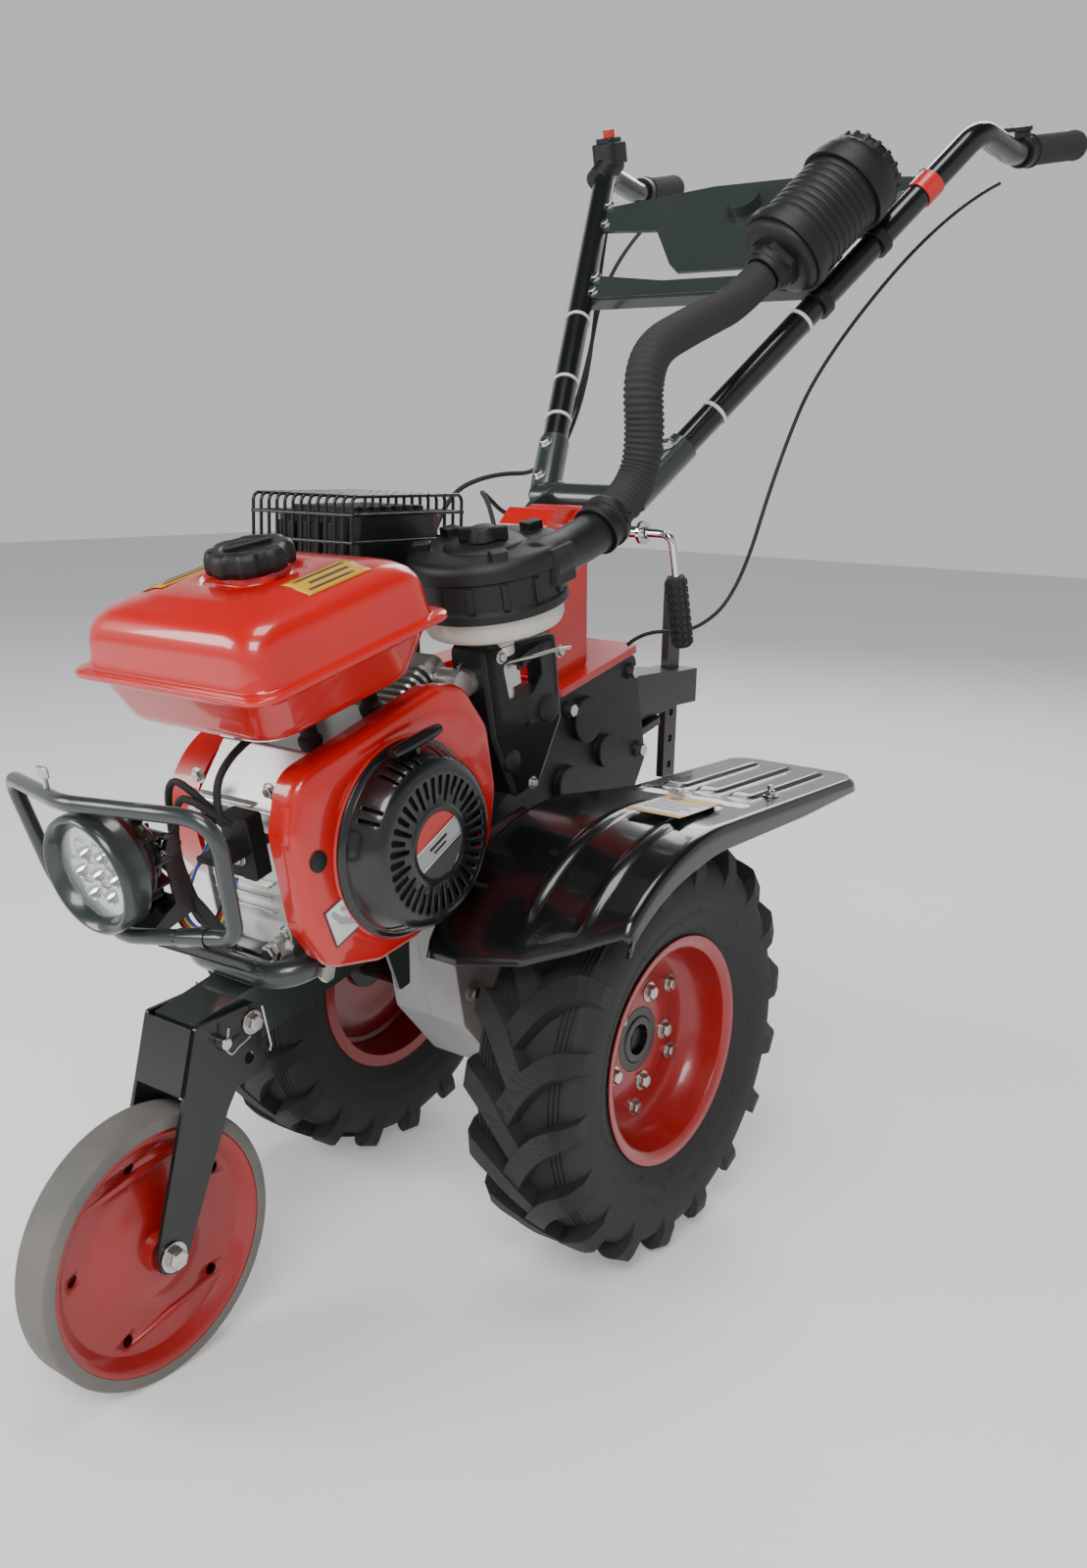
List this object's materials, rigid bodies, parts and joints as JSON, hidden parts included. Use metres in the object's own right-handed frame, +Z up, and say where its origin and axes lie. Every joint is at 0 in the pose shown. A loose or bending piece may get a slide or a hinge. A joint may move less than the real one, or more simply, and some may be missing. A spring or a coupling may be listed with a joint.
{
  "type": "walk-behind tiller",
  "caption": "Walk-behind petrol tiller with lugged drive wheels, nose wheel, tilting V handlebar, headlamp in a tube bumper, snorkel air intake and rear depth stake.",
  "frame": {"origin": "centre of the bounding box on the ground under the tyres", "axes": "+X to the recoil starter side, +Y towards the handlebar grips (rear), +Z up"},
  "size_m": [0.5916, 1.3275, 1.1845],
  "materials": {
    "red_paint": "gloss",
    "black_paint": "satin",
    "grey_paint": "satin",
    "case_metal": "painted cast",
    "cast_alloy": "cast",
    "zinc": "zinc plated",
    "steel": "machined",
    "chrome": "polished",
    "tyre_rubber": "matte",
    "grey_rubber": "dusty",
    "soft_rubber": "matte",
    "gloss_black": "gloss",
    "matt_black": "matte",
    "clear_bowl": "milky translucent",
    "lamp_clear": "clear",
    "red_plastic": "gloss"
  },
  "bodies": {
    "chassis": {"gear_case": "case_metal", "steering_column": "red_paint", "chassis_frame": "black_paint", "engine_plate": "grey_paint", "nose_fork": "black_paint", "fender_near": "black_paint", "fender_far": "black_paint", "hitch_bracket": "black_paint", "bumper": "grey_paint", "headlamp_bracket": "black_paint", "crankcase": "cast_alloy", "cylinder": "cast_alloy", "fan_shroud": "red_paint", "recoil_cover": "gloss_black", "fuel_tank": "red_paint", "muffler": "black_paint", "muffler_guard": "black_paint", "air_cleaner_bowl": "clear_bowl", "air_cleaner_body": "matt_black", "carburettor": "cast_alloy", "side_panel": "matt_black", "ignition_box": "matt_black", "drive_belt": "soft_rubber", "belt_cover": "red_paint", "intake_hose": "soft_rubber", "control_cables": "soft_rubber", "body_bolts": "zinc"},
    "wheels": {"drive_axle": "steel", "tyres": "tyre_rubber", "wheel_rims": "red_paint", "wheel_hubs": "black_paint", "wheel_bolts": "zinc"},
    "nose_wheel": {"nose_wheel_disc": "red_paint", "nose_wheel_tyre": "grey_rubber"},
    "crank": {"crankshaft": "steel", "flywheel": "cast_alloy", "engine_pulley": "steel"},
    "gear_input": {"input_pulley": "steel"},
    "starter_reel": {"recoil_reel": "matt_black"},
    "starter_handle": {"pull_handle": "gloss_black"},
    "tank_cap": {"fuel_cap": "matt_black"},
    "cleaner_knob": {"air_cleaner_knob": "matt_black"},
    "choke": {"choke_lever": "matt_black"},
    "handlebar": {"handle_head": "grey_paint", "handlebar_tubes": "grey_paint", "grips": "soft_rubber", "handle_panels": "grey_paint", "switch_box": "matt_black", "lever_clamps": "matt_black", "precleaner": "gloss_black", "precleaner_cradle": "matt_black"},
    "handle_clamp": {"clamp_lever": "chrome"},
    "throttle": {"throttle_lever": "matt_black"},
    "clutch": {"clutch_lever": "matt_black"},
    "idler": {"idler_arm": "steel"},
    "stop": {"stop_button": "red_plastic"},
    "stake": {"depth_stake": "black_paint"},
    "lamp": {"headlamp_housing": "matt_black", "headlamp_bezel": "grey_paint", "headlamp_lens": "lamp_clear"}
  },
  "joints": [
    {"name": "wheel_roll", "type": "hinge", "parent": "chassis", "child": "wheels", "pos_m": [0, -0.0872, 0.207], "axis": [1, 0, 0], "continuous": true},
    {"name": "nose_wheel_roll", "type": "hinge", "parent": "chassis", "child": "nose_wheel", "pos_m": [0, -0.54747, 0.11804], "axis": [1, 0, 0], "continuous": true},
    {"name": "crank_spin", "type": "hinge", "parent": "chassis", "child": "crank", "pos_m": [0, -0.34557, 0.44854], "axis": [1, 0, 0], "continuous": true},
    {"name": "input_spin", "type": "hinge", "parent": "chassis", "child": "gear_input", "pos_m": [0, 0.00313, 0.46808], "axis": [1, 0, 0], "continuous": true},
    {"name": "starter_reel_turn", "type": "hinge", "parent": "chassis", "child": "starter_reel", "pos_m": [0.121, -0.34557, 0.44854], "axis": [1, 0, 0], "range_deg": [-600, 0]},
    {"name": "starter_pull", "type": "slide", "parent": "chassis", "child": "starter_handle", "axis": [0.5, -0.2066, 0.841], "range_m": [0, 0.4]},
    {"name": "fuel_cap_turn", "type": "hinge", "parent": "chassis", "child": "tank_cap", "pos_m": [0.0368, -0.45649, 0.67791], "axis": [0, -0.2385, 0.9711], "range_deg": [0, 90]},
    {"name": "cleaner_knob_turn", "type": "hinge", "parent": "chassis", "child": "cleaner_knob", "pos_m": [0.0881, -0.22573, 0.69093], "axis": [0, -0.2385, 0.9711], "range_deg": [0, 720]},
    {"name": "choke_swing", "type": "hinge", "parent": "chassis", "child": "choke", "pos_m": [0.103, -0.18655, 0.58213], "axis": [1, 0, 0], "range_deg": [0, 35]},
    {"name": "handlebar_tilt", "type": "hinge", "parent": "chassis", "child": "handlebar", "pos_m": [0, 0.01255, 0.69385], "axis": [1, 0, 0], "range_deg": [-14, 14], "deforming": ["intake_hose", "control_cables"]},
    {"name": "handle_clamp_turn", "type": "hinge", "parent": "chassis", "child": "handle_clamp", "pos_m": [0, 0.01255, 0.69385], "axis": [1, 0, 0], "range_deg": [-30, 60]},
    {"name": "throttle_turn", "type": "hinge", "parent": "handlebar", "child": "throttle", "pos_m": [0.25882, 0.538, 1.14212], "axis": [0, -0.2385, 0.9711], "range_deg": [0, 60]},
    {"name": "clutch_squeeze", "type": "hinge", "parent": "handlebar", "child": "clutch", "pos_m": [-0.25882, 0.5441, 1.09213], "axis": [1, 0, 0], "range_deg": [0, 12]},
    {"name": "idler_swing", "type": "hinge", "parent": "chassis", "child": "idler", "pos_m": [-0.08, -0.08059, 0.51548], "axis": [1, 0, 0], "range_deg": [0, 1.8]},
    {"name": "stop_press", "type": "slide", "parent": "handlebar", "child": "stop", "axis": [0, 0.2385, -0.9711], "range_m": [0, 0.003], "stiffness_N_per_m": 200},
    {"name": "stake_height", "type": "slide", "parent": "chassis", "child": "stake", "axis": [0, 0, 1], "range_m": [-0.064, 0.064]},
    {"name": "lamp_tilt", "type": "hinge", "parent": "chassis", "child": "lamp", "pos_m": [0, -0.53183, 0.46272], "axis": [1, 0, 0], "range_deg": [-2, 2]}
  ],
  "couplings": [
    {"joint": "input_spin", "follows": "crank_spin", "ratio": 0.65385},
    {"joint": "starter_reel_turn", "follows": "starter_pull", "rad_per_m": -25},
    {"joint": "idler_swing", "follows": "clutch_squeeze", "ratio": 0.14}
  ]
}
